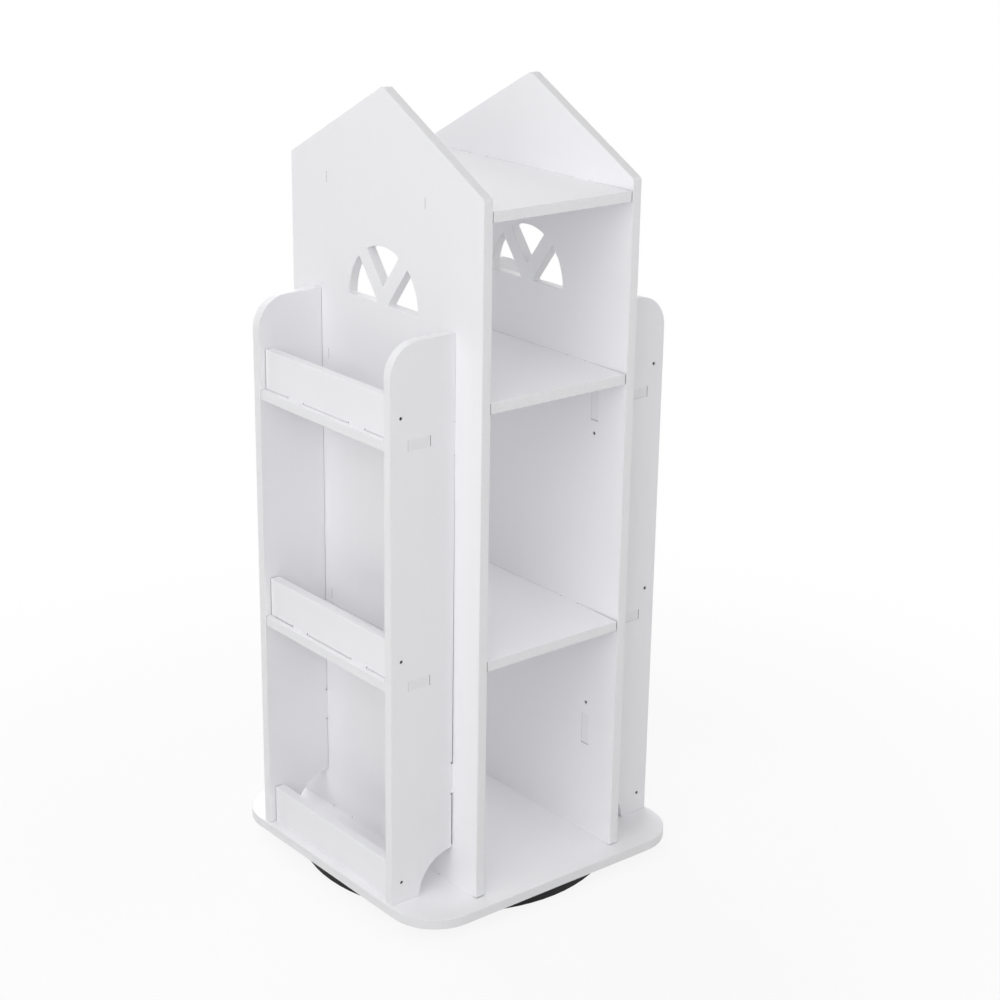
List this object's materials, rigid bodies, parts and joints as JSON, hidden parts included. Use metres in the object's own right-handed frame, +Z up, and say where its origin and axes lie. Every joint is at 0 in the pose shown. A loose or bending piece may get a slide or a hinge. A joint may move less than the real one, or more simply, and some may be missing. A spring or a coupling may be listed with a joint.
{
  "type": "revolving bookcase",
  "caption": "House-shaped children's bookcase whose tower of shelves, with a book display rack on either side, turns freely on a round base.",
  "frame": {"origin": "on the floor, under the turning axis", "axes": "+Z up along the turning axis; -Y is one of the two open faces; the display racks are at -X and +X"},
  "size_m": [0.37, 0.37, 0.8689],
  "materials": {
    "white_board": "satin white paint",
    "black_steel": "dark oxide",
    "black_plastic": "matte",
    "black_rubber": "matte",
    "nylon": "smooth",
    "zinc_steel": "zinc plated"
  },
  "bodies": {
    "turntable": {"turntable_disc": "black_plastic", "glide_ring": "nylon", "pivot_bolt": "zinc_steel", "pivot_nut": "zinc_steel", "rubber_foot_1": "black_rubber", "rubber_foot_2": "black_rubber", "rubber_foot_3": "black_rubber", "rubber_foot_4": "black_rubber"},
    "tower": {"base_plate": "white_board", "swivel_plate": "zinc_steel", "swivel_screw_1": "zinc_steel", "swivel_screw_2": "zinc_steel", "swivel_screw_3": "zinc_steel", "swivel_screw_4": "zinc_steel", "gable_panel_left": "white_board", "gable_panel_right": "white_board", "top_shelf": "white_board", "upper_shelf": "white_board", "lower_shelf": "white_board", "left_rack_front_side": "white_board", "left_rack_back_side": "white_board", "left_rack_upper_shelf": "white_board", "left_rack_lower_shelf": "white_board", "left_rack_upper_lip": "white_board", "left_rack_middle_lip": "white_board", "left_rack_bottom_lip": "white_board", "right_rack_front_side": "white_board", "right_rack_back_side": "white_board", "right_rack_upper_shelf": "white_board", "right_rack_lower_shelf": "white_board", "right_rack_upper_lip": "white_board", "right_rack_middle_lip": "white_board", "right_rack_bottom_lip": "white_board", "left_lip_screw_front_upper": "black_steel", "left_lip_screw_front_middle": "black_steel", "left_lip_screw_front_bottom": "black_steel", "left_lip_screw_back_upper": "black_steel", "left_lip_screw_back_middle": "black_steel", "left_lip_screw_back_bottom": "black_steel", "right_lip_screw_front_upper": "black_steel", "right_lip_screw_front_middle": "black_steel", "right_lip_screw_front_bottom": "black_steel", "right_lip_screw_back_upper": "black_steel", "right_lip_screw_back_middle": "black_steel", "right_lip_screw_back_bottom": "black_steel", "left_gable_screw_front_upper": "black_steel", "left_gable_screw_front_lower": "black_steel", "left_gable_screw_back_upper": "black_steel", "left_gable_screw_back_lower": "black_steel", "right_gable_screw_front_upper": "black_steel", "right_gable_screw_front_lower": "black_steel", "right_gable_screw_back_upper": "black_steel", "right_gable_screw_back_lower": "black_steel", "left_base_screw_front": "black_steel", "left_base_screw_back": "black_steel", "right_base_screw_front": "black_steel", "right_base_screw_back": "black_steel"}
  },
  "joints": [
    {"name": "tower_spin", "type": "hinge", "parent": "turntable", "child": "tower", "pos_m": [0, 0, 0.0167], "axis": [0, 0, 1], "continuous": true}
  ]
}
